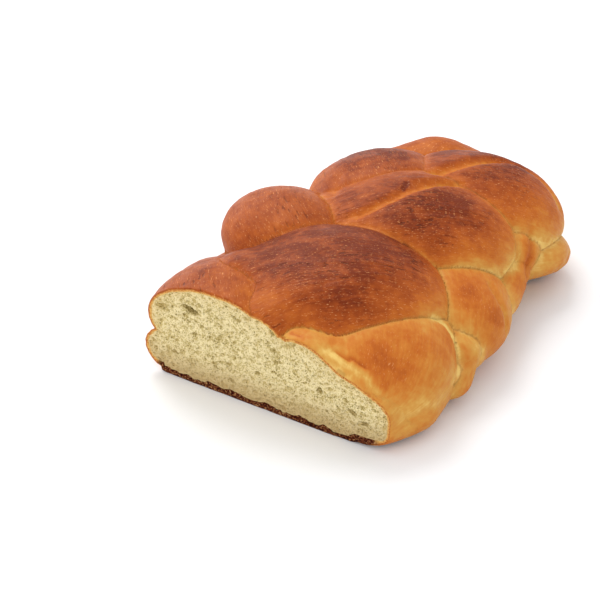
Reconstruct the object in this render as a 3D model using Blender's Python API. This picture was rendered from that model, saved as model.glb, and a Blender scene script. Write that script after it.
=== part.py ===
"""Braided loaf with its near end sliced off: four ropes of dough, plaited flat and baked on a tray.

Metres, +Z up. The loaf lies along +Y. The knife cut is at its low-Y end and faces -Y, and the
closed, tapered end is at high Y. The origin is on the tray, under the middle of the loaf's box.
"""

import math

import bmesh
import bpy
from mathutils import Matrix, Vector

# Driving dimensions of the plait. One step is one row of crossings, and a rope is back at the same
# place across the loaf every eight steps. The pitch is the length of a step at the knife cut.
ROPES = 4
WEAVE = 8
HALF_SPAN = 0.050
PITCH = 0.038
FIRST_STEP = 0.012
EARLIEST_STEP = -2.0
LAST_STEP = 6.6

# What changes by the late step, as a share: the steps get shorter, the ropes thinner and their
# middles higher. The plait itself swells out a little.
LATE_STEP = 7
SHORTENING = 0.42
SWELLING = 0.03
THINNING = 0.10
RISING = 0.08

# A rope crosses the middle at a slant and hurries along the edges. A squareness of 1 gives an even
# wave across the loaf, and less keeps the rope longer at the edges.
HURRY = 0.14
SQUARENESS = 1.05

# A rope's height over its width, once it has sagged under its own weight.
SAG = 0.61

# Half widths of a rope, and the heights of its middle line: on top in the middle of the loaf, on
# top at each side, round each edge, and underneath.
HALF_WIDTH = {"middle": 0.053, "left": 0.043, "right": 0.028, "left edge": 0.029,
              "right edge": 0.015, "under": 0.019}
HEIGHT = {"middle": 0.024, "left": 0.022, "right": 0.019, "left edge": 0.019,
          "right edge": 0.018, "under": 0.019}

# How far from the middle line a rope keeps its middle size, as a share of the half span, how soon
# it takes its left or right size, and how close to the edge it takes its edge size.
MIDDLE_REACH = 0.75
SIDE_TURN = 1.4
EDGE_SHARPNESS = 8

# Over the last steps the ropes are pinched together and tucked under: how many steps, how far they
# draw in and how much they thin, as shares, how far back they tuck and the height of their ends.
TAIL_STEPS = 2
TAIL_GATHER = 0.8
TAIL_THINNING = 0.35
TAIL_TUCK = 0.012
TAIL_HEIGHT = 0.016

# Where a rope passes under (0) or over (1) another, in steps along its own eight-step weave, and
# the lobe or the turn that is at each place.
CROSSINGS = ((0, 0), (1, 1), (2, 0), (4, 1), (5, 0), (6, 1), (8, 0))
ON_TOP = {"middle": 1, "right": 4, "left": 6, "under left": 7.5, "right edge": 3}

# No baker's plait is even. Each lobe or turn, named by its side and its step, is this much wider,
# as a share, and sits this far to the right, along the loaf and up.
UNEVEN = {
    ("under left", -0.5): (-0.08, 0.003, 0.000, -0.006),
    ("right edge", -1): (0.00, -0.009, 0.000, 0.000),
    ("middle", -1): (-0.02, -0.003, -0.006, -0.007),
    ("left", 0): (-0.20, -0.001, 0.002, 0.009),
    ("right", 0): (0.15, -0.006, 0.015, -0.002),
    ("middle", 1): (-0.02, -0.004, 0.002, 0.005),
    ("left", 2): (-0.30, -0.0195, 0.003, 0.0145),
    ("right", 2): (0.00, 0.000, -0.004, -0.003),
    ("middle", 3): (0.02, -0.002, 0.005, 0.004),
    ("left", 4): (0.02, 0.004, 0.005, 0.006),
    ("right", 4): (-0.06, -0.009, -0.006, 0.004),
    ("middle", 5): (0.04, 0.008, -0.008, 0.0025),
    ("left", 6): (-0.01, 0.002, 0.000, -0.002),
    ("right", 6): (0.08, -0.001, -0.002, -0.002),
}
LOBE_REACH = 0.9

# The bed is the dough in the middle: three low bars side by side, which fill the loaf between the
# ropes down to the tray.
BED_BARS = (-1, 0, 1)
BED_SPACING = 0.033
BED_HALF_WIDTH = 0.020
BED_HEIGHT = 0.005
BED_RIGHT = -0.011
BED_START = -0.03
BED_SHORT_OF_TAIL = 0.03
BED_BALLS = 24
BED_TAPER_STEPS = 3
BED_GATHER = 0.3
BED_THINNING = 0.25

# Dough that was tucked in or spread where ropes meet: short tubes, each with its middle line (right
# of the plait's middle line, along from the cut and up) and its half width at each point, in mm.
MM = 0.001
TUCKS = (
    ((-8, 34, 38, 30), (-34, 30, 40, 22)),
    ((-10, 32, 36, 28), (-18, 10, 36, 26)),
    ((30, 24, 22, 26), (10, 7, 33, 19)),
    ((42, 12, 10, 18), (50, 24, 10, 16), (51, 40, 10, 13)),
    ((-14, 114, 36, 30), (-36, 104, 37, 22)),
    ((-42, 188, 29, 22), (-31, 200, 31, 24), (-20, 210, 28, 19)),
    ((34, 166, 10, 18), (44, 176, 12, 17)),
    ((43, 68, 26, 10), (53, 61, 20, 14), (55, 52, 10, 13)),
)
TUCK_BALLS = 12

# The knife's turn from square across the loaf, and how far right of the middle line its face is
# level with the start of the plait.
CUT_TURN = math.radians(3.0)
CUT_PIVOT = 0.028

# How finely the ropes and the skin over them are made. A rope is a close string of balls, so that
# it stays as thick as it should where it turns sharply.
BALLS_PER_STEP = 8
BALL_DETAIL = 3
SKIN_VOXEL = 0.0030
SKIN_KEPT = 0.48
SHARP_ANGLE = math.radians(50)

CRUST_COLOUR = (0.36, 0.12, 0.04, 1.0)
CRUST_ROUGHNESS = 0.45


def clear_scene():
    for old in list(bpy.data.objects):
        bpy.data.objects.remove(old, do_unlink=True)


def blend(low, high, share):
    return low + (high - low) * share


def ease(value, start, end):
    """0 before start, 1 after end, and half a cosine wave between them."""
    share = min(max((value - start) / (end - start), 0.0), 1.0)
    return (1.0 - math.cos(math.pi * share)) / 2.0


def lift(place):
    """How far on top a rope is at a place in its weave, from 0 underneath to 1 on top."""
    for (start, low), (end, high) in zip(CROSSINGS, CROSSINGS[1:]):
        if start <= place <= end:
            return blend(low, high, ease(place, start, end))
    return 0.0


def across(place):
    """Where a rope is across the loaf, from -1 at the left edge to 1 at the right edge."""
    turn = math.pi * (place - 1) / 4
    return math.sin(turn) / math.hypot(math.sin(turn), math.sqrt(SQUARENESS) * math.cos(turn))


def along(run):
    """The distance from the knife cut at a step, with steps that get shorter."""
    return FIRST_STEP + PITCH * (run - SHORTENING * run * abs(run) / (2 * LATE_STEP))


def stray(rope, step):
    """How far a rope is from the even plait: wider, to the right, along and up."""
    total = [0.0, 0.0, 0.0, 0.0]
    for (side, row), amounts in UNEVEN.items():
        if (row + 2 * rope - ON_TOP[side]) % WEAVE == 0:
            share = math.exp(-(((step - row) / LOBE_REACH) ** 2))
            total = [old + share * amount for old, amount in zip(total, amounts)]
    return total


def rope_at(rope, step):
    """The middle of a rope at a step along the plait, and its half width there."""
    place = (step + 2 * rope) % WEAVE
    side = across(place)
    right = (1 + min(max(SIDE_TURN * side, -1), 1)) / 2
    middle = math.sqrt(max(1 - abs(side) / MIDDLE_REACH, 0))
    edge = abs(side) ** EDGE_SHARPNESS

    def sized(sizes):
        over = blend(blend(sizes["left"], sizes["right"], right), sizes["middle"], middle)
        inner = blend(sizes["under"], over, lift(place))
        return blend(inner, blend(sizes["left edge"], sizes["right edge"], right), edge)

    swell, to_right, forward, up = stray(rope, step)
    late = step / LATE_STEP
    tail = ease(step, LAST_STEP - TAIL_STEPS, LAST_STEP)
    x = (HALF_SPAN * (1 + SWELLING * late) * side + to_right) * (1 - TAIL_GATHER * tail)
    y = along(step - 2 * HURRY / math.pi * math.sin(math.pi * (place - 1) / 2)) + forward
    y -= TAIL_TUCK * tail
    z = blend(sized(HEIGHT) * (1 + RISING * late) + up, TAIL_HEIGHT, tail)
    half_width = sized(HALF_WIDTH) * (1 - THINNING * late) * (1 + swell) * (1 - TAIL_THINNING * tail)
    return Vector((x, y, z)), half_width


def rope_balls(rope):
    """The balls of dough that make up a rope: a middle and a half width for each."""
    count = round((LAST_STEP - EARLIEST_STEP) * BALLS_PER_STEP)
    return [rope_at(rope, blend(EARLIEST_STEP, LAST_STEP, i / count)) for i in range(count + 1)]


def bed_balls(bar):
    """The balls of one bar of the bed. It draws in towards the middle as the plait tapers."""
    end = along(LAST_STEP) - BED_SHORT_OF_TAIL
    balls = []
    for i in range(BED_BALLS + 1):
        y = blend(BED_START, end, i / BED_BALLS)
        taper = ease(y, along(LAST_STEP - BED_TAPER_STEPS), end)
        x = BED_RIGHT + bar * BED_SPACING * (1 - BED_GATHER * taper)
        balls.append((Vector((x, y, BED_HEIGHT)), BED_HALF_WIDTH * (1 - BED_THINNING * taper)))
    return balls


def tuck_balls(route):
    """The balls of a tuck: straight between its points, evenly shared among its pieces."""
    pieces = len(route) - 1
    balls = []
    for i in range(TUCK_BALLS * pieces + 1):
        first = min(i // TUCK_BALLS, pieces - 1)
        share = i / TUCK_BALLS - first
        x, y, z, half_width = (MM * blend(a, b, share) for a, b in zip(route[first], route[first + 1]))
        balls.append((Vector((x, y, z)), half_width))
    return balls


def new_object(name, shape):
    mesh = bpy.data.meshes.new(name)
    shape.to_mesh(mesh)
    shape.free()
    made = bpy.data.objects.new(name, mesh)
    bpy.context.collection.objects.link(made)
    return made


def dough():
    """All the balls of the ropes, the bed and the tucks, each one sagged to its baked height."""
    balls = [ball for rope in range(ROPES) for ball in rope_balls(rope)]
    balls += [ball for bar in BED_BARS for ball in bed_balls(bar)]
    balls += [ball for route in TUCKS for ball in tuck_balls(route)]
    shape = bmesh.new()
    for middle, half_width in balls:
        place = Matrix.LocRotScale(middle, None, Vector((1, 1, SAG)))
        bmesh.ops.create_icosphere(shape, subdivisions=BALL_DETAIL, radius=half_width, matrix=place)
    return new_object("loaf", shape)


def block(name, low, high):
    """A box cutter, which the build leaves out."""
    shape = bmesh.new()
    bmesh.ops.create_cube(shape, size=1.0)
    size = Vector(high) - Vector(low)
    middle = (Vector(high) + Vector(low)) / 2
    bmesh.ops.transform(shape, matrix=Matrix.LocRotScale(middle, None, size), verts=shape.verts)
    made = new_object(name, shape)
    made.hide_render = True
    made.display_type = "WIRE"
    return made


def bake_together(loaf):
    """Bakes the balls into one skin, then cuts the tray's flat and the knife's face."""
    skin = loaf.modifiers.new("one_skin", "REMESH")
    skin.mode = "VOXEL"
    skin.voxel_size = SKIN_VOXEL
    skin.use_smooth_shade = True
    fewer = loaf.modifiers.new("fewer_faces", "DECIMATE")
    fewer.ratio = SKIN_KEPT
    tray, knife = block("tray", (-1, -1, -1), (1, 1, 0)), block("knife", (-1, -1, -1), (1, 0, 1))
    pivot = Matrix.Translation((CUT_PIVOT, 0, 0))
    knife.matrix_world = pivot @ Matrix.Rotation(CUT_TURN, 4, "Z") @ pivot.inverted()
    for cutter in (tray, knife):
        cut = loaf.modifiers.new(cutter.name, "BOOLEAN")
        cut.operation = "DIFFERENCE"
        cut.solver = "EXACT"
        cut.object = cutter


def crust():
    material = bpy.data.materials.new("crust")
    material.use_nodes = True
    shader = material.node_tree.nodes["Principled BSDF"]
    shader.inputs["Base Color"].default_value = CRUST_COLOUR
    shader.inputs["Roughness"].default_value = CRUST_ROUGHNESS
    shader.inputs["Metallic"].default_value = 0.0
    return material


def settle(loaf):
    """Fixes the evaluated shape and moves it, so that the origin is under the middle of its box."""
    graph = bpy.context.evaluated_depsgraph_get()
    mesh = bpy.data.meshes.new_from_object(loaf.evaluated_get(graph))
    points = [vertex.co for vertex in mesh.vertices]
    low_x, high_x = min(p.x for p in points), max(p.x for p in points)
    low_y, high_y = min(p.y for p in points), max(p.y for p in points)
    mesh.transform(Matrix.Translation((-(low_x + high_x) / 2, -(low_y + high_y) / 2, 0)))
    loaf.modifiers.clear()
    loaf.data = mesh
    mesh.shade_smooth()
    mesh.set_sharp_from_angle(angle=SHARP_ANGLE)


def main():
    clear_scene()
    loaf = dough()
    bake_together(loaf)
    loaf.data.materials.append(crust())
    settle(loaf)


main()
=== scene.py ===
# %% [markdown]
# # A braided loaf with its near end sliced off
#
# The loaf is four ropes of dough, plaited flat, glazed with egg, baked on a tray and cut. This
# lesson builds its crust and its crumb as surfaces worked out with numpy, and finishes them with
# procedural materials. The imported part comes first: it fixes the size and the place of the loaf,
# and everything below is fitted into its box.

# %% Load the frame
import math

import bpy
import numpy as np
from mathutils import Matrix, Vector


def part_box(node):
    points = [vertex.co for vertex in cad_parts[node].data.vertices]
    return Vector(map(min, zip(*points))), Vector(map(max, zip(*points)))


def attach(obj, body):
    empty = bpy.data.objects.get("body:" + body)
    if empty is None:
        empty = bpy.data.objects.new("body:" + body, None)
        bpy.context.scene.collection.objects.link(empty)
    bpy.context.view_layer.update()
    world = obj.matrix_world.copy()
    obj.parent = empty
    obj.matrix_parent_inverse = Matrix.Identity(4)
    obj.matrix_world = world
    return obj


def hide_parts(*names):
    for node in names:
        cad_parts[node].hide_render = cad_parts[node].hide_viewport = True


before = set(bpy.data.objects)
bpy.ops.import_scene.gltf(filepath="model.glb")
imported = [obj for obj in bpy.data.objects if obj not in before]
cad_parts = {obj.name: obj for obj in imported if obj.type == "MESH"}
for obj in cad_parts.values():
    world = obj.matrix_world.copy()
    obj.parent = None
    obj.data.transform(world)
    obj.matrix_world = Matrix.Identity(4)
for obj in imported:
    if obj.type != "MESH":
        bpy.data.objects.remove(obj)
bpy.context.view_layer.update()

loaf_low, loaf_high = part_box("loaf")
print("packed loaf, mm:", [round(1000 * side) for side in loaf_high - loaf_low])

# %% [markdown]
# ## The plait
#
# A four-strand plait repeats every eight steps. Each rope crosses the middle on top (a middle lobe),
# dips under its neighbour, comes over again at the right edge, passes underneath, and comes over
# once more at the left. One wave across the loaf and one up and down therefore describe all four
# ropes, two steps apart. The baker's unevenness is a short table: each lobe that shows has its own
# small offsets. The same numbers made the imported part, so the crust falls on top of it.

# %% Sizes of the plait, in metres
ROPES = 4
WEAVE = 8
HALF_SPAN = 0.050
PITCH = 0.038
FIRST_STEP = 0.012
EARLIEST_STEP = -2.0
LAST_STEP = 6.6
LATE_STEP = 7
SHORTENING = 0.42
SWELLING = 0.03
THINNING = 0.10
RISING = 0.08
HURRY = 0.14
SQUARENESS = 1.05
SAG = 0.61
HALF_WIDTH = {"middle": 0.053, "left": 0.043, "right": 0.028, "left edge": 0.029,
              "right edge": 0.015, "under": 0.019}
HEIGHT = {"middle": 0.024, "left": 0.022, "right": 0.019, "left edge": 0.019,
          "right edge": 0.018, "under": 0.019}
MIDDLE_REACH = 0.75
SIDE_TURN = 1.4
EDGE_SHARPNESS = 8
TAIL_STEPS = 2
TAIL_GATHER = 0.8
TAIL_THINNING = 0.35
TAIL_TUCK = 0.012
TAIL_HEIGHT = 0.016
CROSSINGS = ((0, 0), (1, 1), (2, 0), (4, 1), (5, 0), (6, 1), (8, 0))
ON_TOP = {"middle": 1, "right": 4, "left": 6, "under left": 7.5, "right edge": 3}
UNEVEN = {
    ("under left", -0.5): (-0.08, 0.003, 0.000, -0.006),
    ("right edge", -1): (0.00, -0.009, 0.000, 0.000),
    ("middle", -1): (-0.02, -0.003, -0.006, -0.007),
    ("left", 0): (-0.20, -0.001, 0.002, 0.009),
    ("right", 0): (0.15, -0.006, 0.015, -0.002),
    ("middle", 1): (-0.02, -0.004, 0.002, 0.005),
    ("left", 2): (-0.30, -0.0195, 0.003, 0.0145),
    ("right", 2): (0.00, 0.000, -0.004, -0.003),
    ("middle", 3): (0.02, -0.002, 0.005, 0.004),
    ("left", 4): (0.02, 0.004, 0.005, 0.006),
    ("right", 4): (-0.06, -0.009, -0.006, 0.004),
    ("middle", 5): (0.04, 0.008, -0.008, 0.0025),
    ("left", 6): (-0.01, 0.002, 0.000, -0.002),
    ("right", 6): (0.08, -0.001, -0.002, -0.002),
}
LOBE_REACH = 0.9
BED_BARS = (-1, 0, 1)
BED_SPACING = 0.033
BED_HALF_WIDTH = 0.020
BED_HEIGHT = 0.005
BED_RIGHT = -0.011
BED_START = -0.03
BED_SHORT_OF_TAIL = 0.03
BED_TAPER_STEPS = 3
BED_GATHER = 0.3
BED_THINNING = 0.25
CUT_TURN = math.radians(3.0)
CUT_PIVOT = 0.028
TUCKS = (
    # the rope and the lobe it belongs to, and its middle line (right, along, up) with the half
    # width at each point, in millimetres
    (0, ("middle", 1), ((-8, 34, 38, 30), (-34, 30, 40, 22))),
    (0, ("middle", 1), ((-10, 32, 36, 28), (-18, 10, 36, 26))),
    (2, ("right", 0), ((30, 24, 22, 26), (10, 7, 33, 19))),
    (2, ("right", 0), ((42, 12, 10, 18), (50, 24, 10, 16), (51, 40, 10, 13))),
    (3, ("middle", 3), ((-14, 114, 36, 30), (-36, 104, 37, 22))),
    (0, ("left", 6), ((-42, 188, 29, 22), (-31, 200, 31, 24), (-20, 210, 28, 19))),
    (3, ("right", 6), ((34, 166, 10, 18), (44, 176, 12, 17))),
    (None, ("right", 0), ((43, 68, 26, 10), (53, 61, 20, 14), (55, 52, 10, 13))),
)
MM = 0.001
TUCK_BALLS = 24


# %% Small helpers for shares and waves
def blend(low, high, share):
    """low at share 0, high at share 1, and a straight line between them."""
    return low + (high - low) * share


def ease(value, start, end):
    """Half a cosine wave: 0 before start, 1 after end."""
    share = np.clip((np.asarray(value) - start) / (end - start), 0, 1)
    return (1 - np.cos(np.pi * share)) / 2


def bump(value, middle, width):
    """A bell: 1 in the middle, falling to 1/e at one width on either side."""
    return np.exp(-(((value - middle) / width) ** 2))


# %% The middle line of a rope
def lift(place):
    """How far on top a rope is: half a cosine wave from each crossing to the next."""
    up = np.zeros_like(place)
    for (start, low), (end, high) in zip(CROSSINGS, CROSSINGS[1:]):
        here = (place >= start) & (place <= end)
        up = np.where(here, blend(low, high, ease(place, start, end)), up)
    return up


def along(run):
    """Distance from the knife cut: the steps get shorter, so it is the step less its square."""
    return FIRST_STEP + PITCH * (run - SHORTENING * run * np.abs(run) / (2 * LATE_STEP))


def rope_at(rope, step):
    """Middle points and half widths of a rope, for an array of steps.

    Across the loaf the rope is a sine wave of eight steps, squared off a little. Up and down it
    follows lift(), between the named heights, and its width between the named half widths.
    """
    step = np.asarray(step, float)
    place = (step + 2 * rope) % WEAVE
    turn = np.pi * (place - 1) / 4
    side = np.sin(turn) / np.hypot(np.sin(turn), math.sqrt(SQUARENESS) * np.cos(turn))
    right = (1 + np.clip(SIDE_TURN * side, -1, 1)) / 2
    middle = np.sqrt(np.clip(1 - np.abs(side) / MIDDLE_REACH, 0, 1))
    edge = np.abs(side) ** EDGE_SHARPNESS

    def sized(sizes):
        over = blend(blend(sizes["left"], sizes["right"], right), sizes["middle"], middle)
        inner = blend(sizes["under"], over, lift(place))
        return blend(inner, blend(sizes["left edge"], sizes["right edge"], right), edge)

    swell, to_right, forward, up = np.zeros((4,) + step.shape)
    for (lobe_side, row), (wider, across, further, higher) in UNEVEN.items():
        if (row + 2 * rope - ON_TOP[lobe_side]) % WEAVE == 0:
            share = bump(step, row, LOBE_REACH)
            swell, to_right = swell + wider * share, to_right + across * share
            forward, up = forward + further * share, up + higher * share
    late = step / LATE_STEP
    tail = ease(step, LAST_STEP - TAIL_STEPS, LAST_STEP)
    x = (HALF_SPAN * (1 + SWELLING * late) * side + to_right) * (1 - TAIL_GATHER * tail)
    y = along(step - 2 * HURRY / np.pi * np.sin(np.pi * (place - 1) / 2)) + forward
    y = y - TAIL_TUCK * tail
    z = blend(sized(HEIGHT) * (1 + RISING * late) + up, TAIL_HEIGHT, tail)
    half_width = sized(HALF_WIDTH) * (1 - THINNING * late) * (1 + swell) * (1 - TAIL_THINNING * tail)
    return np.stack([x, y, z], -1), half_width


def bed_at(bar, share):
    """A straight bar of dough under the ropes, which draws in and thins towards the tail."""
    end = along(LAST_STEP) - BED_SHORT_OF_TAIL
    y = blend(BED_START, end, share)
    taper = ease(y, along(LAST_STEP - BED_TAPER_STEPS), end)
    x = BED_RIGHT + bar * BED_SPACING * (1 - BED_GATHER * taper)
    return np.stack([x, y, np.full_like(y, BED_HEIGHT)], -1), BED_HALF_WIDTH * (1 - BED_THINNING * taper)


def tuck_at(route):
    """A short tube of dough: straight between its points, evenly spaced along them."""
    route = np.array(route, float) * MM
    run = np.concatenate([[0], np.cumsum(np.linalg.norm(np.diff(route[:, :3], axis=0), axis=-1))])
    even = np.linspace(0, run[-1], TUCK_BALLS)
    spaced = np.stack([np.interp(even, run, route[:, i]) for i in range(4)], -1)
    return spaced[:, :3], spaced[:, 3]


print("a middle lobe is", round(2000 * float(rope_at(0, 1.0)[1])), "mm wide where it is on top")

# %% [markdown]
# ## One skin over all the ropes
#
# Ropes of dough that rise together could be joined by booleans or by a voxel remesh, but both lose
# the crease between two ropes, which is what makes a plait look like one. Here the skin is a grid of
# rays instead: they leave a spine inside the loaf in all directions, and each ends on the last ball
# of dough that it meets. The grid is closed by construction, its rows run round the loaf, and at
# every point it is known which rope is on top and how far below it the next one lies. That depth is
# the crease. A ball sags as it bakes, so the balls are worked out in a space where heights are
# stretched until they are round again.

# %% Sizes of the grid
SPINE_RIGHT = -0.004
SPINE_REACH = 0.046
SPINE_HEIGHT = 0.020
SPINE_END = 0.175
FAN_WIDTH = 0.060
FAN_HEIGHT = 0.080
OUTLINE_WIDTH = 0.150
OUTLINE_HEIGHT = 0.060
ROWS = 236
TAIL_ARC = 0.062
COLUMNS = 372
FINE_STEP = 0.02
CREASE_BLEND = 0.0010
TRAY_BLEND = 0.0008
BED_BALLS = 40
CUT_SPREAD = 0.060
TUCK_BLEND = 0.0018
CUT_MARGIN = 0.006


def turns_round(count, under_share):
    """Angles round the spine, evenly spaced along an ellipse, but sparser underneath it.

    The ellipse's arc length is summed, with the lower part counted at under_share, and the
    angles are read off at equal steps of that sum.
    """
    fine = np.linspace(0, 2 * np.pi, 8001)
    x, z = OUTLINE_WIDTH / 2 * np.cos(fine), OUTLINE_HEIGHT / 2 * np.sin(fine)
    middle = (fine[1:] + fine[:-1]) / 2
    weight = np.where((np.sin(middle) < -0.5), under_share, 1.0)
    length = np.concatenate([[0], np.cumsum(np.hypot(np.diff(x), np.diff(z)) * weight)])
    return np.interp(np.arange(count) / count * length[-1], length, fine)


def spine_rays(turns, rows):
    """Origins and directions of the rays, in stretched space.

    Each row leaves the spine at its own distance from the cut. Past the end of the spine the
    rows lean over towards +Y by a quarter turn, so that the last one is a single pole. Near the
    cut they are slanted, the first one by the cut's whole turn, so that it lies in its plane.
    """
    distance = np.linspace(0, SPINE_END + TAIL_ARC, rows)
    lean = np.clip((distance - SPINE_END) / TAIL_ARC, 0, 1) * np.pi / 2
    flat = np.stack([FAN_WIDTH * np.cos(turns), 0 * turns, FAN_HEIGHT / SAG * np.sin(turns)], -1)
    flat /= np.linalg.norm(flat, axis=-1, keepdims=True)
    upright, leaning = np.cos(lean)[:, None, None], np.sin(lean)[:, None, None]
    directions = flat[None] * upright + np.array([0.0, 1.0, 0.0]) * leaning
    origins = np.zeros_like(directions)
    origins[..., 0] = SPINE_RIGHT + SPINE_REACH * np.cos(turns)[None] * np.cos(lean)[:, None]
    origins[..., 1] = np.minimum(distance, SPINE_END)[:, None]
    origins[..., 2] = SPINE_HEIGHT / SAG
    slant = math.tan(CUT_TURN) * (1 - ease(distance, 0, CUT_SPREAD))[:, None]
    origins[..., 1] += slant * (origins[..., 0] - CUT_PIVOT)
    directions[..., 1] += slant * directions[..., 0]
    return origins, directions / np.linalg.norm(directions, axis=-1, keepdims=True)


# %% Where the rays leave the dough
def reach_of(balls, half_widths, origins, directions):
    """How far each ray goes to the far side of the furthest ball, and which ball that is.

    A ray leaves a ball at b + sqrt(r^2 - d^2 + b^2), where b is how far along the ray the ball's
    middle lies, d is the middle's distance from the ray's start and r is the ball's half width.
    """
    best = np.zeros(origins.shape[:2])
    which = np.zeros(origins.shape[:2], int)
    row_y = origins[:, 0, 1]
    for i in range(len(balls)):
        rows = np.abs(row_y - balls[i, 1]) < half_widths[i] + CUT_MARGIN
        rows |= row_y >= SPINE_END - 1e-9
        if not rows.any():
            continue
        to_ball = balls[i] - origins[rows]
        b = (to_ball * directions[rows]).sum(-1)
        inside = half_widths[i] ** 2 - (to_ball ** 2).sum(-1) + b * b
        hit = np.where(inside > 0, b + np.sqrt(np.maximum(inside, 0)), 0)
        better = hit > best[rows]
        best[rows] = np.where(better, hit, best[rows])
        which[rows] = np.where(better, i, which[rows])
    return best, which


def soft_most(values, softness):
    """The largest of several, rounded where two are nearly equal: a log of summed exponentials."""
    most = values.max(0)
    return most + softness * np.log(np.exp((values - most) / softness).sum(0))


def stretched(points):
    """The same points with their heights divided by the sag."""
    return points / np.array([1.0, 1.0, SAG])


turns = turns_round(COLUMNS, 0.34)
origins, directions = spine_rays(turns, ROWS)
steps = np.arange(EARLIEST_STEP, LAST_STEP, FINE_STEP)
dough = [rope_at(rope, steps) for rope in range(ROPES)]
dough += [bed_at(bar, np.linspace(0, 1, BED_BALLS)) for bar in BED_BARS]
dough += [tuck_at(route) for rope, lobe, route in TUCKS]
reaches, which = zip(*(reach_of(stretched(middles), half_widths, origins, directions)
                       for middles, half_widths in dough))
reaches, which = np.array(reaches), np.array(which)
top_rope = reaches.argmax(0)

family = list(range(ROPES + len(BED_BARS)))
family += [len(dough) if rope is None else rope for rope, lobe, route in TUCKS]
family_reach = np.array([soft_most(reaches[np.array(family) == member], TUCK_BLEND)
                         for member in sorted(set(family))])
ranked = np.sort(family_reach, 0)
crease_depth = ranked[-1] - ranked[-2]
print("rays:", top_rope.size, "deepest next rope, mm:", round(1000 * float(crease_depth.max())))


# %% Where each point lies on its rope
def nearest_ball(points, middles, half_widths):
    """The ball each point is nearest to: the least squared distance less squared half width."""
    squared = ((points[:, None] - middles[None]) ** 2).sum(-1)
    return (squared - half_widths ** 2).argmin(1)


def rope_coordinates():
    """Step, distance along the rope and angle round it, for every ray.

    The angle is measured round the rope's middle line, from straight up towards its right, in
    stretched space.
    """
    points = origins + directions * reaches.max(0)[..., None]
    step, length, angle, half_width = np.zeros((4,) + top_rope.shape)
    tucked = {ROPES + len(BED_BARS) + i: tuck[0] for i, tuck in enumerate(TUCKS)}
    for layer in range(len(dough)):
        here = top_rope == layer
        rope = tucked.get(layer)
        rope = layer if rope is None else rope
        middles, widths = dough[rope]
        middles = stretched(middles)
        index = which[rope][here] if rope == layer else nearest_ball(points[here], middles, widths)
        run = np.concatenate([[0], np.cumsum(np.linalg.norm(np.diff(middles, axis=0), axis=-1))])
        tangents = np.gradient(middles, axis=0)
        tangents /= np.linalg.norm(tangents, axis=-1, keepdims=True)
        rightward = np.cross(tangents[index], [0.0, 0.0, 1.0])
        rightward /= np.linalg.norm(rightward, axis=-1, keepdims=True)
        upward = np.cross(rightward, tangents[index])
        offset = points[here] - middles[index]
        step[here] = steps[index] if rope < ROPES else -ROPES * WEAVE
        angle[here] = np.arctan2((offset * rightward).sum(-1), (offset * upward).sum(-1))
        length[here] = run[index] + (offset * tangents[index]).sum(-1)
        half_width[here] = widths[index]
    return step, length, angle, half_width


rope_step, rope_length, rope_angle, rope_half_width = rope_coordinates()
rope_place = (rope_step + 2 * top_rope) % WEAVE
print("angles round the ropes, degrees:", np.round(np.degrees([rope_angle.min(), rope_angle.max()])))

# %% [markdown]
# ## Marks of the hands and the oven
#
# Ropes of dough are never smooth. Where a rope was stretched over its neighbour it leaves a long
# shallow fold, and where two ropes stuck together and then rose they tear a little. These folds
# could be sculpted by hand, but a short route for each, with a width and a depth, says the same in
# one line and can be changed. The finer waviness is lattice noise: random numbers at the corners of
# a cubic lattice, blended smoothly between them. Two grains are used, one even and one drawn out
# along the ropes, as skin is when it is stretched.

# %% Noise
NOISE_CELLS = 32


def soft_noise(places, cell, seed):
    """Lattice noise between -1 and 1.

    The eight corners of the cell around a place each have a fixed random number, and each counts
    by the product of its three shares, eased by 3s^2 - 2s^3.
    """
    table = np.random.default_rng(seed).uniform(-1, 1, (NOISE_CELLS,) * 3)
    scaled = np.asarray(places) / cell
    low = np.floor(scaled).astype(int)
    share = scaled - low
    share = share * share * (3 - 2 * share)
    total = np.zeros(scaled.shape[:-1])
    for corner in np.ndindex(2, 2, 2):
        picked = (low + corner) % NOISE_CELLS
        weight = np.prod(np.where(np.array(corner) == 1, share, 1 - share), axis=-1)
        total += weight * table[picked[..., 0], picked[..., 1], picked[..., 2]]
    return total


# %% Folds, in millimetres right of the plait's middle line, along from the cut and up
FOLDS = (
    # route, half width, depth, how pale the stretched dough in it is
    (((-27, 86, 50), (-16, 94, 54), (-3, 114, 60), (6, 139, 58), (16, 148, 54)), 3.0, 2.4, 0.8),
    (((-7, 121, 60), (0, 131, 60), (7, 141, 58), (15, 147, 55)), 3.0, 2.2, 0.3),
    (((-11, 144, 53), (-1, 157, 58), (7, 173, 58), (19, 189, 54)), 3.6, 3.0, 0.9),
    (((7, 173, 58), (19, 189, 54), (37, 192, 46), (45, 188, 42), (53, 178, 33)), 3.0, 2.2, 0.6),
    (((46, 50, 41), (51, 57, 32), (59, 53, 25), (66, 47, 16)), 1.6, 1.2, 1.0),
    (((46, 152, 42), (53, 147, 36), (55, 137, 28), (52, 126, 18)), 1.8, 1.6, -0.25),
    (((40, 146, 44), (47, 140, 36), (49, 131, 28), (48, 122, 20)), 2.2, 1.2, 0.5),
    (((18, 2, 44), (27, 4, 40), (36, 6, 34), (44, 8, 27), (50, 8, 20)), 1.8, 0.4, 0.5),
    (((50, 100, 37), (60, 94, 32), (67, 90, 24), (69, 86, 16)), 1.8, 1.4, 0.1),
    (((-45, 134, 47), (-49, 124, 50), (-43, 112, 50), (-36, 104, 48)), 3.0, 1.0, 0.3),
)
TEARS = (
    (((-9, 127, 60), (-7, 122, 60), (-6, 116, 60)), 1.0, 0.7, -0.8),
    (((24, 5, 41), (30, 7, 38), (36, 9, 34), (41, 11, 30)), 0.8, 0.8, -0.5),
    (((4, 3, 44), (8, 2, 45), (12, 2, 45)), 0.8, 0.6, -0.4),
)
ROUTE_POINTS = 60
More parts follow.
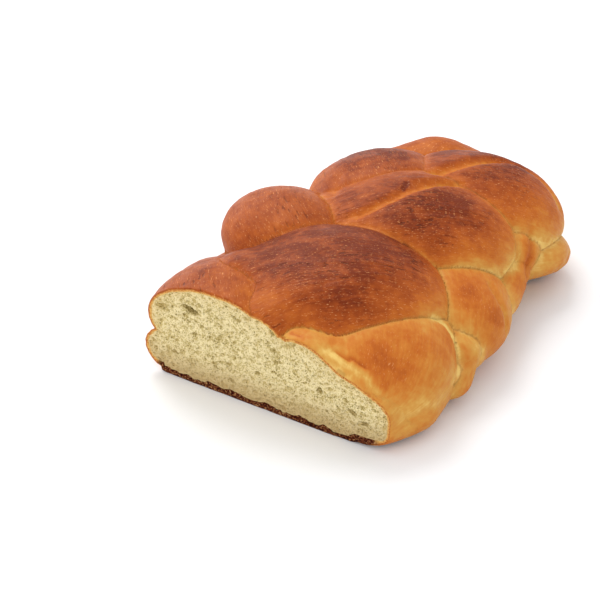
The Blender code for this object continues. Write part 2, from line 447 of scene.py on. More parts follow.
SNAP_REACH = 0.008


def route_curve(route, skin_points):
    """Points of the skin along a smooth curve through the route.

    The curve is a cubic, fitted over the distance along the route, and each of its points is moved
    to the nearest one on the skin.
    """
    route = np.array(route, float) * MM
    run = np.concatenate([[0], np.cumsum(np.linalg.norm(np.diff(route, axis=0), axis=-1))])
    degree = min(3, len(route) - 1)
    share = np.linspace(0, 1, ROUTE_POINTS)
    curve = np.stack([np.polyval(np.polyfit(run / run[-1], route[:, i], degree), share)
                      for i in range(3)], -1)
    gap = np.linalg.norm(skin_points[:, None] - curve[None], axis=-1)
    return skin_points[gap.argmin(0)], share


def fold_field(points, route, half_width):
    """How much of a fold is felt at each point: a bell across the route, faded at both ends."""
    reach = SNAP_REACH
    low, high = np.min(route, axis=0) * MM - reach, np.max(route, axis=0) * MM + reach
    curve, share = route_curve(route, points[np.all((points > low) & (points < high), axis=-1)])
    reach = 3.5 * half_width * MM
    near = np.all((points > curve.min(0) - reach) & (points < curve.max(0) + reach), axis=-1)
    distance = np.linalg.norm(points[near][:, None] - curve[None], axis=-1)
    closest = distance.argmin(1)
    ends = ease(share[closest], -0.02, 0.22) * (1 - ease(share[closest], 0.78, 1.02))
    field = np.zeros(points.shape[:-1])
    field[near] = bump(distance.min(1), 0, half_width * MM) * ends
    return field


# %% The skin's reach, with its folds and waves
unit_sag = np.array([1.0, 1.0, SAG])
skin_reach = soft_most(family_reach, CREASE_BLEND)
plain_skin = (origins + directions * skin_reach[..., None]) * unit_sag
ray_scale = np.linalg.norm(directions * unit_sag, axis=-1)

owner = np.array(family)[top_rope]
grain = np.stack([rope_length + 0.4 * owner, rope_angle * rope_half_width, 0.05 * owner], -1)
WAVE_SIZE, WAVE_HEIGHT = 0.017, 0.0007
DRAWN = np.array([0.16, 1.0, 1.0])
STREAK_SIZE, STREAK_HEIGHT = 0.0030, 0.00016
PUCKER_SIZE, PUCKER_HEIGHT = 0.0035, 0.00014
GROOVE, GROOVE_REACH = 0.0013, 0.0010
waves = WAVE_HEIGHT * soft_noise(plain_skin, WAVE_SIZE, 3)
streaks = STREAK_HEIGHT * soft_noise(grain * DRAWN, STREAK_SIZE, 5)
puckers = PUCKER_HEIGHT * soft_noise(plain_skin, PUCKER_SIZE, 7)
relief = waves + streaks + puckers - GROOVE * np.exp(-crease_depth / GROOVE_REACH)

fold_paleness = np.zeros(relief.shape)
for route, half_width, depth, pale in FOLDS + TEARS:
    field = fold_field(plain_skin, route, half_width)
    relief = relief - depth * MM * field
    fold_paleness += pale * field

to_tray = np.full(relief.shape, 1e3)
downward = directions[..., 2] < -1e-6
to_tray[downward] = origins[downward][:, 2] / -directions[downward][:, 2]
UNDER_SIZE, UNDER_HEIGHT = 0.006, 0.0006
under_rough = UNDER_HEIGHT * np.clip(soft_noise(plain_skin, UNDER_SIZE, 11), 0, 1)
to_tray = to_tray * (1 - under_rough / (SPINE_HEIGHT))
skin_reach = -soft_most(-np.stack([skin_reach + relief / ray_scale, to_tray]), TRAY_BLEND)
skin = (origins + directions * skin_reach[..., None]) * unit_sag
skin[..., 2] = np.maximum(skin[..., 2], 0)
on_tray = 1 - ease(skin[..., 2], 0.0004, 0.0040)

shift = np.array([(loaf_low.x + loaf_high.x) / 2 - (skin[..., 0].min() + skin[..., 0].max()) / 2,
                  loaf_low.y - skin[..., 1].min(), loaf_low.z])
print("skin, mm:", np.round(1000 * (skin.reshape(-1, 3).max(0) - skin.reshape(-1, 3).min(0))))
print("moved into the packed part's box by, mm:", np.round(1000 * shift, 1))

# %% [markdown]
# ## How brown each place is
#
# The oven browns what stands highest and was glazed. The creases opened late, so their dough is
# pale gold, and the right side of the plait stayed paler than its middle. One number from 0 (pale)
# to 1 (dark) is worked out for every point and kept as an attribute on the mesh, and the material
# turns it into colour. Painting by hand would do too, but this way every hidden side is as finished
# as the front.

# %% Browning
BROWNED = {"middle": 0.92, "left": 0.80, "right": 0.62}
BROWNED_LOBES = {("middle", 1): 0.96, ("middle", 5): 0.98, ("left", 0): 0.84, ("left", 4): 0.97,
                 ("right", 2): 0.64, ("right", 4): 0.70, ("right", 0): 0.63}
PALER_BELOW = {"middle": 0.42, "left": 0.10, "right": 0.24}
FLANK_LOW, FLANK_HIGH = 0.022, 0.054
CREASE_REACH = 0.0022
CREASE_PALENESS = 0.12
FADES = {("middle", 1): 0.06, ("middle", 3): 0.32, ("middle", 5): 0.26, ("left", 4): 0.20,
         ("left", 2): 0.05, ("left", 0): 0.04, ("right", 0): 0.16, ("right", 2): 0.16}
FADE_ELSEWHERE = 0.2
FADE_REACH = 0.007
# The painted crease shadow is full right of this and gone 20 mm to its left.
CREASE_SHADOW_FULL_AT = 0.004
RIGHT_END, RIGHT_PALENESS = 0.018, 0.24
PATCHES = [((44, 9, 45), 11, 0.28), ((57, 13, 36), 9, 0.20), ((54, 80, 45), 10, 0.26),
           ((66, 82, 32), 7, 0.24), ((28, 4, 46), 12, -0.34), ((40, 1, 38), 10, -0.20),
           ((-12, 11, 50), 9, -0.26), ((8, 7, 48), 10, -0.22), ((47, 50, 46), 14, -0.12),
           ((-14, 44, 60), 22, 0.06), ((26, 122, 60), 18, 0.06), ((51, 140, 45), 9, 0.24),
           ((58, 55, 34), 9, 0.16), ((64, 53, 22), 9, 0.12), ((-66, 76, 30), 16, -0.26),
           ((-60, 133, 36), 12, -0.34), ((57, 134, 36), 6, 0.20), ((62, 158, 24), 16, -0.10),
           ((-33, 196, 45), 18, -0.10)]


def lobe_of(place, step):
    """Side of each place in the weave, and the row of its lobe: the step less what is past it."""
    sides = np.where(place < 2, "middle", np.where(place < 5, "right", "left"))
    top = np.select([sides == side for side in ON_TOP], list(ON_TOP.values()))
    return sides, np.round(step - (place - top)).astype(int)


sides, rows = lobe_of(rope_place, rope_step)
for tuck, (rope, (side, row), route) in enumerate(TUCKS):
    in_tuck = top_rope == ROPES + len(BED_BARS) + tuck
    sides[in_tuck], rows[in_tuck] = side, row
brown = np.zeros(relief.shape)
for side, amount in BROWNED.items():
    high = ease(skin[..., 2], FLANK_LOW, FLANK_HIGH)
    here = sides == side
    own = np.full(relief.shape, amount)
    for (lobe_side, row), lobe_amount in BROWNED_LOBES.items():
        if lobe_side == side:
            own = np.where(rows == row, lobe_amount, own)
    brown = np.where(here, own - PALER_BELOW[side] * (1 - high), brown)
crease = np.exp(-crease_depth / CREASE_REACH)
fade = np.full(relief.shape, FADE_ELSEWHERE)
for (side, row), amount in FADES.items():
    fade = np.where((sides == side) & (rows == row), amount, fade)
to_right = (sides == "middle") * ease(skin[..., 0], RIGHT_END, RIGHT_END + 0.03)
brown = brown - CREASE_PALENESS * crease - fade * np.exp(-crease_depth / FADE_REACH)
brown = brown - 0.5 * fold_paleness - RIGHT_PALENESS * to_right
for centre, reach, amount in PATCHES:
    away = np.linalg.norm(skin - np.array(centre) * MM, axis=-1)
    brown += amount * np.exp(-(away / (reach * MM)) ** 2)
brown += 0.07 * soft_noise(plain_skin, 0.020, 13) + 0.04 * soft_noise(grain * DRAWN, 0.0045, 17)
brown += 0.05 * soft_noise(plain_skin, 0.007, 41)
brown = np.clip(brown, 0, 1)
print("browning, mean and spread:", round(float(brown.mean()), 2), round(float(brown.std()), 2))

# %% [markdown]
# ## The crust
#
# The crust is one closed piece: the whole skin, and at the knife cut a thin rim, then a shallow
# recess that holds the crumb. It could be given its thickness by Solidify, but the rim is thin on
# top and thick and dry where the loaf lay on the tray, so its rings are worked out here. All rings
# from the middle of the recess to the pole at the tail are rows of one grid.

# %% Grids into meshes
def fan(ring, pole):
    """Triangles from a pole to each pair of neighbours in a ring, seen anticlockwise from outside."""
    return np.stack([np.full_like(ring, pole), ring, np.roll(ring, -1)], -1).tolist()


def zip_up(ring):
    """Faces that close a flat ring like a zip: each upper neighbour pair meets the lower pair."""
    half = len(ring) // 2
    upper, lower = ring[:half + 1], np.roll(ring, -1)[::-1][:half + 1]
    ends = [[upper[0], upper[1], lower[1]], [upper[-2], upper[-1], lower[-2]]]
    middle = np.stack([upper[1:-2], upper[2:-1], lower[2:-1], lower[1:-2]], -1)
    return np.array(ends).tolist() + middle.tolist()


def grid_mesh(name, rings, first, last, attributes):
    """A closed mesh from rings of points.

    Every ring has the same number of points, counted the same way round. Neighbouring rings are
    joined by quads, and the last ring by triangles to the point last. The first ring is closed in
    the same way to the point first, or zipped up where that is None. attributes maps a name to
    values for the points in the same order.
    """
    count, around = rings.shape[:2]
    points = np.concatenate([rings.reshape(-1, 3), [last]] + ([] if first is None else [[first]]))
    index = np.arange(count * around).reshape(count, around)
    beside = np.roll(index, -1, axis=1)
    faces = np.stack([index[:-1], index[1:], beside[1:], beside[:-1]], -1).reshape(-1, 4).tolist()
    faces += fan(index[-1][::-1], count * around)
    faces += zip_up(index[0]) if first is None else fan(index[0], count * around + 1)
    mesh = bpy.data.meshes.new(name)
    mesh.from_pydata(points.tolist(), [], faces)
    for label, values in attributes.items():
        kind = "FLOAT_VECTOR" if values.ndim == 2 else "FLOAT"
        layer = mesh.attributes.new(label, kind, "POINT")
        layer.data.foreach_set("vector" if values.ndim == 2 else "value",
                               values.astype(np.float32).ravel())
    mesh.shade_smooth()
    piece = bpy.data.objects.new(name, mesh)
    bpy.context.collection.objects.link(piece)
    triangles = sum(len(face) - 2 for face in faces)
    print(name, "has", len(points), "points and", triangles, "triangles")
    return piece


# %% The rim at the knife cut
RIM_TOP, RIM_BOTTOM, RIM_UNEVEN = 0.0015, 0.0028, 0.0010
RIM_RINGS = (1.0, 0.62, 0.3)
RECESS, RECESS_SHARE = 0.009, 0.86
outline = skin[0]


def on_cut(right, height, depth=0.0):
    """Points of the cutting plane, or so deep behind it."""
    return np.stack([right, (right - CUT_PIVOT) * math.tan(CUT_TURN) + depth, height], -1)


def inward(ring):
    """Directions right and up across a closed ring in the cutting plane, towards its inside.

    The ring's direction is smoothed over five points and turned by a quarter.
    """
    ahead = sum(np.roll(ring, -i, axis=0) - np.roll(ring, i, axis=0) for i in (1, 2, 3, 4))
    turned = np.stack([-ahead[:, 2], ahead[:, 0]], -1)
    return turned / np.linalg.norm(turned, axis=-1, keepdims=True)


at_bottom = 1 - ease(outline[:, 2], 0.0010, 0.0060)
ragged = soft_noise(outline, 0.004, 19) + 0.7 * soft_noise(outline, 0.0017, 23)
rim = blend(RIM_TOP, RIM_BOTTOM + RIM_UNEVEN * ragged, at_bottom) + 0.0002 * ragged
inset = [outline[:, ::2] + inward(outline) * (rim * share)[:, None] for share in RIM_RINGS]
rim_rings = np.stack([on_cut(ring[:, 0], ring[:, 1]) for ring in inset])
inner_edge = rim_rings[0]
middle_line = np.stack([SPINE_RIGHT + SPINE_REACH * np.cos(turns), np.full(COLUMNS, SPINE_HEIGHT)], -1)
narrower = blend(middle_line, inner_edge[:, ::2], RECESS_SHARE)
recess_ring = on_cut(narrower[:, 0], narrower[:, 1], RECESS)
recess_middle = recess_ring.mean(0)

rings = np.concatenate([[recess_ring], rim_rings, skin[:-1]]) + shift
pole_front, pole_back = recess_middle + shift, skin[-1].mean(0) + shift


def on_rings(front, skin_values):
    """Values for the front rings, then for the rings of the skin, its pole and the recess."""
    fronts = [np.broadcast_to(value, skin_values[0].shape) for value in front]
    body = np.concatenate([fronts, skin_values[:-1]]).reshape(-1, *skin_values.shape[2:])
    return np.concatenate([body, [skin_values[-1].mean(0)], [body[0]]])


depth_in = [1.0, 1.0, 0.62, 0.3]
crust_piece = grid_mesh("crust", rings, pole_front, pole_back, {
    "brown": on_rings([brown[0]] * 4, brown),
    "under": on_rings([at_bottom] * 4, on_tray),
    "inside": on_rings(depth_in, np.zeros(brown.shape)),
    # crease: nearness to a crease on the right of the plait, carried for the painted crease shadow
    "crease": on_rings([0 * crease[0]] * 4, crease * ease(skin[..., 0], CREASE_SHADOW_FULL_AT - 0.02, CREASE_SHADOW_FULL_AT)),
    "grain": on_rings([grain[0]] * 4, grain),
})

# %% [markdown]
# ## The crumb
#
# The cut shows a fine, open crumb: hundreds of small uneven holes with thin walls between them, a
# few larger ones near the crust, and one long hollow under the left lobe. Bump alone would look
# painted, so the cut face is a fine grid pressed in by spheres of many sizes, each one a hole. The
# rings of the grid shrink from the rim to the loaf's spine, where the upper and the lower half meet.

# %% Rings of the cut face
FACE_AROUND = 720
FACE_RINGS = 118
FACE_BACK = 0.0082
WALL_DEPTH = 0.9
face_turns = turns_round(FACE_AROUND, 1.0)
wrapped = np.concatenate([turns - 2 * np.pi, turns, turns + 2 * np.pi])
edge = np.stack([np.interp(face_turns, wrapped, np.tile(inner_edge[:, i], 3)) for i in (0, 2)], -1)
spine = np.stack([SPINE_RIGHT + SPINE_REACH * np.cos(face_turns),
                  np.full(FACE_AROUND, SPINE_HEIGHT)], -1)
shares = np.linspace(0, 1, FACE_RINGS)
flat_face = spine[None] + (edge - spine)[None] * shares[:, None, None]
from_edge = np.linalg.norm(edge - spine, axis=-1)[None] * (1 - shares[:, None])
print("crumb face grid, mm between rings:", round(1000 * float(from_edge[0].max()) / FACE_RINGS, 2))

# %% Holes in the crumb
LATTICE = 0.00025
HOLE_SIZES = ((3400, 0.00035, 0.0006), (1000, 0.0006, 0.0010), (170, 0.0009, 0.0015))
LARGE_HOLES = (
    # right, up, half length, half height, depth, lean in degrees, all lengths in millimetres
    (-45.0, 40.0, 4.6, 1.9, 5.0, -18),
    (-61.0, 36.5, 3.4, 1.6, 2.4, 12),
    (-70.0, 31.0, 1.6, 1.3, 3.6, 0),
    (-73.0, 27.0, 1.2, 1.1, 3.2, 0),
    (38.0, 15.5, 2.6, 1.4, 2.6, -20),
    (44.0, 12.0, 2.0, 1.1, 2.4, 10),
    (22.0, 21.0, 1.4, 2.1, 2.2, 0),
    (57.0, 8.0, 1.5, 1.3, 2.6, 0),
)
HOLE_DRAWN = 1.45
HOLE_DEEP = 1.1


def press_holes(depth, holes):
    """Presses ellipsoids into the lattice. Inside an ellipse the depth is sqrt(1 - d^2) of its own.

    d is the distance from the hole's middle, measured in its half length and half height after
    it is turned by its lean. A place in several holes keeps the deepest.
    """
    for x, z, half_length, half_height, deep, lean in holes:
        reach = int(max(half_length, half_height) / LATTICE) + 2
        column, row = int((x - lattice_low[0]) / LATTICE), int((z - lattice_low[1]) / LATTICE)
        window = np.s_[max(column - reach, 0):column + reach, max(row - reach, 0):row + reach]
        offset = lattice[window] - np.array([x, z])
        cos, sin = math.cos(lean), math.sin(lean)
        u = (offset[..., 0] * cos + offset[..., 1] * sin) / half_length
        w = (offset[..., 1] * cos - offset[..., 0] * sin) / half_height
        pressed = deep * np.sqrt(np.maximum(1 - u * u - w * w, 0))
        depth[window] = np.maximum(depth[window], pressed)
    return depth


def read_off(depth, face):
    """Values of the lattice at places on the face, in proportion between its four corners."""
    scaled = (face - lattice_low) / LATTICE
    low = np.clip(np.floor(scaled).astype(int), 0, np.array(depth.shape) - 2)
    share = scaled - low
    total = 0
    for right, up in np.ndindex(2, 2):
        weight = np.abs(1 - right - share[..., 0]) * np.abs(1 - up - share[..., 1])
        total = total + weight * depth[low[..., 0] + right, low[..., 1] + up]
    return total


def scattered_holes(random, count, smallest, largest):
    """Random holes in the box of the face: middle, half length, half height, depth and lean."""
    low, high = edge.min(0), edge.max(0)
    middles = random.uniform(low, high, (count, 2))
    size = random.uniform(smallest, largest, count)
    drawn = random.uniform(1.0, HOLE_DRAWN, count)
    lean = random.normal(0.0, 0.5, count)
    deep = size * random.uniform(0.6, HOLE_DEEP, count)
    return np.stack([middles[:, 0], middles[:, 1], size * drawn, size / drawn, deep, lean], -1)


random = np.random.default_rng(29)
lattice_low = edge.min(0)
lattice_count = ((edge.max(0) - lattice_low) / LATTICE).astype(int) + 2
lattice = lattice_low + np.stack(np.indices(lattice_count), -1) * LATTICE
pressed_in = np.zeros(lattice_count)
for count, smallest, largest in HOLE_SIZES:
    pressed_in = press_holes(pressed_in, scattered_holes(random, count, smallest, largest))
large = [(x * MM, z * MM, a * MM, b * MM, d * MM, math.radians(lean))
         for x, z, a, b, d, lean in LARGE_HOLES]
pits = read_off(press_holes(pressed_in, large), flat_face)
face_3d = np.stack([flat_face[..., 0], np.zeros(pits.shape), flat_face[..., 1]], -1)
pits = np.minimum(pits, WALL_DEPTH * from_edge) * ease(from_edge, 0.0, 0.0009)
torn = 0.00018 * soft_noise(face_3d, 0.0011, 31) + 0.00030 * soft_noise(face_3d, 0.006, 37)
crumb_depth = pits + torn + 0.00035
crumb_front = on_cut(flat_face[..., 0], flat_face[..., 1], crumb_depth)
narrower = blend(spine, edge, RECESS_SHARE)
back_ring = on_cut(narrower[:, 0], narrower[:, 1], FACE_BACK)
crumb_rings = np.concatenate([crumb_front[1:], [back_ring]]) + shift
print("deepest hole, mm:", round(1000 * float(pits.max()), 1),
      "share of the face in holes:", round(float((pits > 0.0002).mean()), 2))


# %% The crumb's mesh
def on_crumb(front_values, back_value):
    """Values for the crumb's front rings, then the back ring and its middle."""
    back = np.full(FACE_AROUND + 1, back_value, float)
    return np.concatenate([front_values[1:].ravel(), back])


crumb_middle = back_ring.mean(0) + shift
PIT_FULL = 0.0012
EDGE_ZONE = 0.004
LOW_ZONE = 0.022
crumb_piece = grid_mesh("crumb", crumb_rings, None, crumb_middle, {
    # pit: depth of the pressed-in holes, which the crumb finish turns into painted shade
    "pit": on_crumb(np.clip(pits / PIT_FULL, 0, 1), 1.0),
    "edge": on_crumb(np.exp(-from_edge / EDGE_ZONE), 0.0),
    "low": on_crumb(1 - ease(flat_face[..., 1], 0, LOW_ZONE), 0.0),
})

# %% [markdown]
# ## Finishes
#
# Bread is not one colour anywhere. The crust's colour comes from the browning attribute through a
# colour ramp with a stop for each shade from pale dough to dark glaze, shifted a little by noise.
# Fine pale flecks and short dark wrinkles follow the grain attribute, which runs along each rope, so
# they bend with it. Image textures could do this, but nodes stay sharp at any distance and need no
# files. Roughness and bump come from the same noise, because a fleck that is paler is also duller.

# %% Node helpers
def srgb(red, green, blue):
    """A linear colour from three display values of 0 to 255."""
    shares = np.array([red, green, blue]) / 255
    linear = np.where(shares <= 0.04045, shares / 12.92, ((shares + 0.055) / 1.055) ** 2.4)
    return (*linear.tolist(), 1.0)


class Finish:
    """A material with a Principled shader, and short ways to add and join its nodes."""

    def __init__(self, name):
        self.material = bpy.data.materials.new(name)
        self.material.use_nodes = True
        self.tree = self.material.node_tree
        self.shader = self.tree.nodes["Principled BSDF"]
        self.place = self.add("ShaderNodeTexCoord").outputs["Object"]

    def add(self, kind, **settings):
        node = self.tree.nodes.new(kind)
        for name, value in settings.items():
            setattr(node, name, value)
        return node

    def join(self, source, target):
        """Links a socket, or sets a plain value."""
        if isinstance(source, bpy.types.NodeSocket):
            self.tree.links.new(source, target)
        else:
            target.default_value = source

    def attribute(self, name, output="Fac"):
        return self.add("ShaderNodeAttribute", attribute_name=name).outputs[output]

    def noise(self, vector, scale, detail=2.0, stretch=(1, 1, 1)):
        """Noise between 0 and 1, with scale counted in features a metre."""
        mapping = self.add("ShaderNodeMapping")
        mapping.inputs["Scale"].default_value = [scale * share for share in stretch]
        self.join(vector, mapping.inputs["Vector"])
        node = self.add("ShaderNodeTexNoise")
        self.join(mapping.outputs["Vector"], node.inputs["Vector"])
        node.inputs["Scale"].default_value = 1.0
        node.inputs["Detail"].default_value = detail
        return node.outputs["Fac"]

    def pores(self, vector, scale, size):
        """1 in the middle of round pores, 0 between them: the distance to scattered points."""
        node = self.add("ShaderNodeTexVoronoi")
        self.join(vector, node.inputs["Vector"])
        node.inputs["Scale"].default_value = scale
        return self.spread(node.outputs["Distance"], size * 0.4, size, 1.0, 0.0)

    def math(self, operation, first, second):
        node = self.add("ShaderNodeMath", operation=operation)
        self.join(first, node.inputs[0])
        self.join(second, node.inputs[1])
        return node.outputs[0]

    def spread(self, value, low, high, new_low=0.0, new_high=1.0):
        """Maps low to high onto new_low to new_high, smoothly and clamped."""
        node = self.add("ShaderNodeMapRange", interpolation_type="SMOOTHSTEP")
        for socket, amount in zip(node.inputs, (value, low, high, new_low, new_high)):
            self.join(amount, socket)
        return node.outputs["Result"]

    def ramp(self, value, stops):
        node = self.add("ShaderNodeValToRGB")
        elements = node.color_ramp.elements
        for position, colour in stops[2:]:
            elements.new(position)
        for element, (position, colour) in zip(elements, sorted(stops)):
            element.position, element.color = position, colour
        self.join(value, node.inputs["Fac"])
        return node.outputs["Color"]

    def mix(self, share, first, second, blend_type="MIX"):
        node = self.add("ShaderNodeMix", data_type="RGBA", blend_type=blend_type)
        self.join(share, node.inputs["Factor"])
        self.join(first, node.inputs[6])
        self.join(second, node.inputs[7])
        return node.outputs[2]

    def raise_by(self, height, distance, strength=1.0, below=None):
        node = self.add("ShaderNodeBump")
        node.inputs["Strength"].default_value = strength
        node.inputs["Distance"].default_value = distance
        self.join(height, node.inputs["Height"])
        if below is not None:
            self.join(below, node.inputs["Normal"])
        return node.outputs["Normal"]


# %% Crust
SHADES = [(0.00, srgb(224, 188, 108)), (0.18, srgb(202, 148, 70)), (0.38, srgb(194, 119, 47)),
          (0.55, srgb(182, 98, 34)), (0.72, srgb(163, 80, 28)), (0.86, srgb(144, 65, 22)),
          (1.00, srgb(110, 42, 14))]
RIM_SHADES = [(0.0, srgb(158, 84, 34)), (0.45, srgb(188, 122, 58)), (1.0, srgb(214, 172, 98))]
UNDER_SHADES = [(0.44, srgb(50, 10, 4)), (0.54, srgb(110, 48, 22)), (0.66, srgb(184, 140, 92))]
# Painted crease shadow: golden brown where the dough is pale, dark brown where it is browned
CREASE_SHADOW_COLOURS = [(0.25, srgb(206, 140, 72)), (0.75, srgb(96, 42, 20))]
FLECK = srgb(224, 158, 104)
WRINKLE = srgb(84, 34, 18)
GLAZE = 0.07


def crust_finish():
    """Egg-washed crust: browning ramp, flecks, wrinkles, painted shade in the creases, a golden rim and
    a dark underside.
    """
    f = Finish("crust")
    grain_place = f.attribute("grain", "Vector")
    brown_here = f.attribute("brown")
    streak = f.noise(grain_place, 620, detail=3, stretch=(0.22, 1, 1))
    mottle = f.noise(f.place, 95, detail=3)
    blotch = f.noise(f.place, 300, detail=3)
    shade = f.math("ADD", brown_here, f.spread(streak, 0.25, 0.75, -0.04, 0.04))
    shade = f.math("ADD", shade, f.spread(mottle, 0.3, 0.7, -0.05, 0.05))
    shade = f.math("ADD", shade, f.spread(blotch, 0.3, 0.7, -0.05, 0.05))
    colour = f.ramp(shade, SHADES)

    fleck = f.spread(f.noise(grain_place, 1700, detail=2, stretch=(0.4, 1, 1)), 0.61, 0.71)
    fleck = f.math("MULTIPLY", fleck, f.spread(brown_here, 0.30, 0.65, 0.0, 0.6))
    colour = f.mix(fleck, colour, FLECK)
    wrinkle = f.spread(f.noise(grain_place, 620, detail=2, stretch=(0.34, 1, 1)), 0.60, 0.66)
    wrinkle = f.math("MULTIPLY", wrinkle, f.spread(f.noise(f.place, 42, detail=1), 0.46, 0.60))
    wrinkle = f.math("MULTIPLY", wrinkle, f.spread(brown_here, 0.6, 0.9, 0.0, 0.6))
    colour = f.mix(wrinkle, colour, WRINKLE)

    # Painted shade darkens the creases, broken up by the mottle
    crease_shadow = f.spread(f.attribute("crease"), 0.55, 0.95, 0.0, 0.5)
    crease_shadow = f.math("MULTIPLY", crease_shadow, f.spread(mottle, 0.35, 0.6, 0.4, 1.0))
    colour = f.mix(crease_shadow, colour, f.ramp(brown_here, CREASE_SHADOW_COLOURS))

    inside = f.attribute("inside")
    grainy = f.math("ADD", inside, f.spread(f.noise(f.place, 1400, detail=3), 0.3, 0.7, -0.45, 0.35))
    colour = f.mix(f.spread(inside, 0.02, 0.25), colour, f.ramp(grainy, RIM_SHADES))
    under = f.attribute("under")
    speckle = f.noise(f.place, 1300, detail=4)
    colour = f.mix(f.spread(under, 0.15, 0.75), colour, f.ramp(speckle, UNDER_SHADES))
    f.join(colour, f.shader.inputs["Base Color"])

    rough = f.spread(mottle, 0.3, 0.7, 0.40, 0.50)
    rough = f.math("ADD", rough, f.math("MULTIPLY", fleck, 0.4))
    rough = f.math("ADD", rough, f.math("MULTIPLY", f.math("ADD", under, inside), 0.4))
    f.join(rough, f.shader.inputs["Roughness"])
    f.shader.inputs["Specular IOR Level"].default_value = GLAZE

    height = f.math("SUBTRACT", streak, f.math("MULTIPLY", wrinkle, 2.5))
    height = f.math("ADD", height, f.math("MULTIPLY", f.noise(f.place, 1500, detail=2), 0.5))
    grained = f.raise_by(height, 0.00025)
    crusty = f.raise_by(f.math("MULTIPLY", speckle, under), 0.0015, below=grained)
    f.join(crusty, f.shader.inputs["Normal"])
    return f.material


# %% Crumb
# From pale cell walls to painted shade in the deepest pits and pores
CRUMB_COLOUR_AND_PORE_SHADE = [(0.0, srgb(238, 221, 172)), (0.35, srgb(207, 187, 126)), (1.0, srgb(142, 121, 62))]
CRUMB_EDGE = srgb(222, 186, 116)
CRUMB_LOW = srgb(186, 158, 108)


def crumb_finish():
    """Soft white crumb: paler on the torn walls, with pale specks as painted highlights, painted shade
    deeper in the pits and pores, and deeper in colour towards the crust.
    """
    f = Finish("crumb")
    pit = f.attribute("pit")
    fine = f.noise(f.place, 1500, detail=6)
    broad = f.noise(f.place, 150, detail=2)
    pores = f.math("MAXIMUM", f.pores(f.place, 1150, 0.30), f.pores(f.place, 620, 0.26))
    pores = f.math("MULTIPLY", pores, f.spread(fine, 0.40, 0.62))
    # Painted shade: darker with the depth of the pits and in the pores; the palest fine specks are
    # painted highlights
    depth = f.math("ADD", f.math("MULTIPLY", pit, 0.55), f.math("MULTIPLY", pores, 0.5))
    depth = f.math("ADD", depth, f.spread(fine, 0.32, 0.68, -0.34, 0.34))
    depth = f.math("ADD", depth, f.spread(broad, 0.3, 0.7, -0.08, 0.10))
    colour = f.ramp(depth, CRUMB_COLOUR_AND_PORE_SHADE)
    colour = f.mix(f.math("MULTIPLY", f.attribute("edge"), 0.35), colour, CRUMB_EDGE)
    colour = f.mix(f.math("MULTIPLY", f.attribute("low"), 0.8), colour, CRUMB_LOW)
    f.join(colour, f.shader.inputs["Base Color"])
    f.shader.inputs["Roughness"].default_value = 0.85
    f.shader.inputs["Specular IOR Level"].default_value = 0.15
    relief = f.math("SUBTRACT", f.math("MULTIPLY", fine, 1.2), pores)
    f.join(f.raise_by(relief, 0.0008), f.shader.inputs["Normal"])
    return f.material


crust_piece.data.materials.append(crust_finish())
crumb_piece.data.materials.append(crumb_finish())

# %% [markdown]
# ## Joining the frame
#
# Both pieces ride on the part's only body. The crust and the crumb together stand for the packed
# loaf, which stays for collision and is no longer shown.

# %% Ride and replace
for piece, slot in ((crust_piece, "crust"), (crumb_piece, "crumb")):
    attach(piece, "root")
    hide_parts("loaf")

# %% [markdown]
# ## Floor, light and camera
#
# Bread is usually shown on white, under a large soft light from behind and to the left, so that the
# glaze shines along the upper edges and the shadow falls softly to the right.

# %% Floor
FLOOR_HALF = 3.0


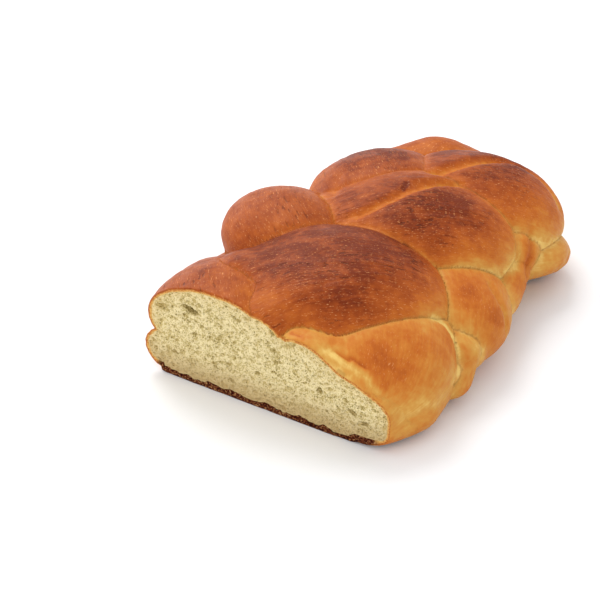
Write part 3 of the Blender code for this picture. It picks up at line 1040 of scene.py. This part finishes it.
def pale_floor():
    """A square at the tray's height, with a nearly white, dull finish."""
    corners = [(x * FLOOR_HALF, y * FLOOR_HALF, loaf_low.z) for x, y in
               ((-1, -1), (1, -1), (1, 1), (-1, 1))]
    mesh = bpy.data.meshes.new("floor")
    mesh.from_pydata(corners, [], [(0, 1, 2, 3)])
    floor = bpy.data.objects.new("floor", mesh)
    bpy.context.collection.objects.link(floor)
    f = Finish("floor")
    f.shader.inputs["Base Color"].default_value = (0.86, 0.86, 0.87, 1)
    f.shader.inputs["Roughness"].default_value = 0.9
    f.shader.inputs["Specular IOR Level"].default_value = 0.1
    mesh.materials.append(f.material)
    return floor


pale_floor()

# %% Lights
SKY_STRENGTH = 1.02
LIGHTS = (
    # where it stands, where it looks (both from the loaf's middle), size and power
    ("key", (-0.75, 0.55, 1.15), (0, 0, 0), 0.9, 11.0),
    ("fill", (-0.35, -1.3, 0.55), (0, 0, 0), 1.0, 4.0),
    ("edge", (-1.1, 0.35, 0.35), (0, 0, 0.03), 0.6, 2.5),
)


def add_light(name, place, aim, size, power):
    data = bpy.data.lights.new(name, "AREA")
    data.shape, data.size, data.energy = "DISK", size, power
    light = bpy.data.objects.new(name, data)
    light.location = place
    light.rotation_euler = (Vector(aim) - Vector(place)).to_track_quat("-Z", "Y").to_euler()
    bpy.context.collection.objects.link(light)


for light in LIGHTS:
    add_light(*light)
world = bpy.data.worlds.new("sky")
world.use_nodes = True
world.node_tree.nodes["Background"].inputs["Color"].default_value = (1, 1, 1, 1)
world.node_tree.nodes["Background"].inputs["Strength"].default_value = SKY_STRENGTH
bpy.context.scene.world = world
bpy.context.scene.view_settings.view_transform = "Standard"

# %% Camera
AZIMUTH, ELEVATION = math.radians(33.98), math.radians(32.78)
DISTANCE = 0.598
LENS = 71.76
SENSOR = 36.0
AIM = (0, 0.110, 0.025)
AIM_RIGHT, AIM_UP = -0.05144, -0.02027

backward = Vector((math.sin(AZIMUTH) * math.cos(ELEVATION), -math.cos(AZIMUTH) * math.cos(ELEVATION),
                   math.sin(ELEVATION)))
rightward = Vector((math.cos(AZIMUTH), math.sin(AZIMUTH), 0))
upward = backward.cross(rightward)
aim = Vector(AIM) + Vector(shift) + rightward * AIM_RIGHT + upward * AIM_UP
lens = bpy.data.cameras.new("camera")
lens.lens, lens.sensor_width = LENS, SENSOR
camera = bpy.data.objects.new("camera", lens)
camera.matrix_world = (Matrix.Translation(aim + backward * DISTANCE)
                       @ Matrix((rightward, upward, backward)).transposed().to_4x4())
bpy.context.collection.objects.link(camera)
bpy.context.scene.camera = camera
print("camera stands", round(DISTANCE, 2), "m from the loaf")
